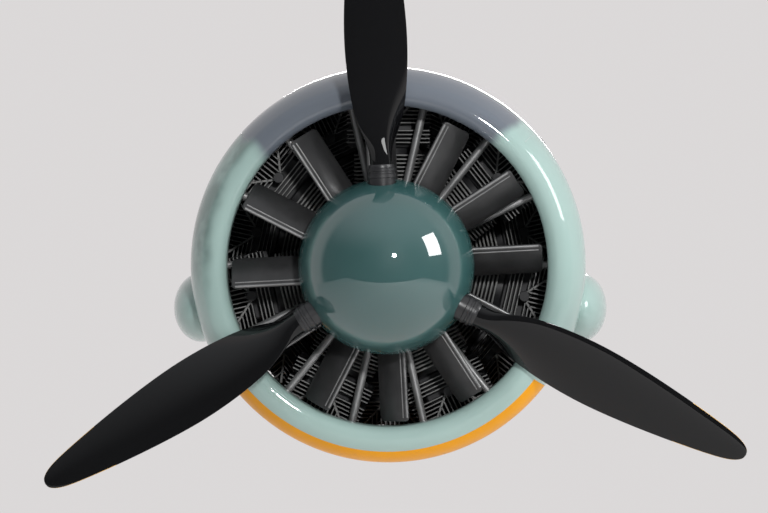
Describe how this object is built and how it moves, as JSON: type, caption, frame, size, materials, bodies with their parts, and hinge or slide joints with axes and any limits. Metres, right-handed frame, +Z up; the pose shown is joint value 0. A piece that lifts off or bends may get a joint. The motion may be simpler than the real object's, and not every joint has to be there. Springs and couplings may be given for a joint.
{
  "type": "radial model engine with cowl and propeller",
  "caption": "Cowled two-row radial model engine with cooling fan, domed spinner and variable-pitch propeller, on a rear mount ring.",
  "frame": {"origin": "where the shaft axis meets the rear face of the mount ring", "axes": "+Y along the shaft away from the propeller, +Z up, +X to the right seen from the propeller"},
  "size_m": [0.7014, 0.378, 0.6247],
  "materials": {
    "black_enamel": "satin black enamel",
    "cowl_paint": "high gloss with clear coat",
    "spinner_paint": "high gloss with clear coat",
    "blade_black": "semi-gloss black",
    "fan_grey": "satin dark grey",
    "finned_metal": "black paint with bright fin edges",
    "tube_metal": "satin metal",
    "steel": "ground",
    "cast_aluminium": "cast"
  },
  "bodies": {
    "engine": {"carburettor": "cast_aluminium", "cowl_brackets": "black_enamel", "cowl_nose_ring": "cowl_paint", "exhaust_stubs": "steel", "front_crankcase": "cast_aluminium", "front_cylinder_1": "finned_metal", "front_cylinder_2": "finned_metal", "front_cylinder_3": "finned_metal", "front_cylinder_4": "finned_metal", "front_cylinder_5": "finned_metal", "front_cylinder_6": "finned_metal", "front_cylinder_7": "finned_metal", "front_head_1": "finned_metal", "front_head_2": "finned_metal", "front_head_3": "finned_metal", "front_head_4": "finned_metal", "front_head_5": "finned_metal", "front_head_6": "finned_metal", "front_head_7": "finned_metal", "front_link_rods": "steel", "front_master_rod": "steel", "front_pushrod_tubes": "tube_metal", "front_rocker_covers": "black_enamel", "glow_plugs": "steel", "intake_pipes": "cast_aluminium", "left_cowl_panel": "cowl_paint", "lower_cowl_panel": "cowl_paint", "main_bearings": "steel", "mount_legs": "black_enamel", "mount_ring": "black_enamel", "nose_case": "cast_aluminium", "panel_screws": "steel", "pistons": "cast_aluminium", "pushrods": "steel", "rear_cover": "cast_aluminium", "rear_crankcase": "cast_aluminium", "rear_cylinders": "finned_metal", "rear_heads": "finned_metal", "rear_link_rods": "steel", "rear_master_rod": "steel", "rear_pushrod_tubes": "tube_metal", "rear_rocker_covers": "black_enamel", "right_cowl_panel": "cowl_paint", "side_fairings": "cowl_paint", "top_cowl_panel": "cowl_paint"},
    "propeller_drive": {"crankshaft": "steel", "propeller_hub": "steel", "blade_collars": "black_enamel", "propeller_nut": "steel", "spinner_backplate": "spinner_paint", "spinner_dome": "spinner_paint", "fan_hub": "fan_grey", "fan_blades": "fan_grey"},
    "front_cam": {"front_cam_plate": "steel"},
    "rear_cam": {"rear_cam_plate": "steel"},
    "first_blade": {"blade_1": "blade_black"},
    "second_blade": {"blade_2": "blade_black"},
    "third_blade": {"blade_3": "blade_black"},
    "throttle": {"throttle_barrel": "steel", "throttle_arm": "steel"}
  },
  "joints": [
    {"name": "crank_spin", "type": "hinge", "parent": "engine", "child": "propeller_drive", "pos_m": [0, -0.16, 0], "axis": [0, -1, 0], "continuous": true},
    {"name": "front_cam_spin", "type": "hinge", "parent": "engine", "child": "front_cam", "pos_m": [0, -0.202, 0], "axis": [0, -1, 0], "continuous": true},
    {"name": "rear_cam_spin", "type": "hinge", "parent": "engine", "child": "rear_cam", "pos_m": [0, -0.053, 0], "axis": [0, -1, 0], "continuous": true},
    {"name": "blade_pitch", "type": "hinge", "parent": "propeller_drive", "child": "first_blade", "pos_m": [0, -0.274, 0], "axis": [-0.0436, 0, 0.999], "range_deg": [-10, 8]},
    {"name": "second_blade_pitch", "type": "hinge", "parent": "propeller_drive", "child": "second_blade", "pos_m": [0, -0.274, 0], "axis": [-0.8434, 0, -0.5373], "range_deg": [-10, 8]},
    {"name": "third_blade_pitch", "type": "hinge", "parent": "propeller_drive", "child": "third_blade", "pos_m": [0, -0.274, 0], "axis": [0.887, 0, -0.4617], "range_deg": [-10, 8]},
    {"name": "throttle_turn", "type": "hinge", "parent": "engine", "child": "throttle", "pos_m": [0, 0.009, 0], "axis": [-1, 0, 0], "range_deg": [0, 80]}
  ],
  "couplings": [
    {"joint": "front_cam_spin", "follows": "crank_spin", "ratio": -0.16667},
    {"joint": "rear_cam_spin", "follows": "crank_spin", "ratio": -0.16667},
    {"joint": "second_blade_pitch", "follows": "blade_pitch", "ratio": 1},
    {"joint": "third_blade_pitch", "follows": "blade_pitch", "ratio": 1}
  ]
}
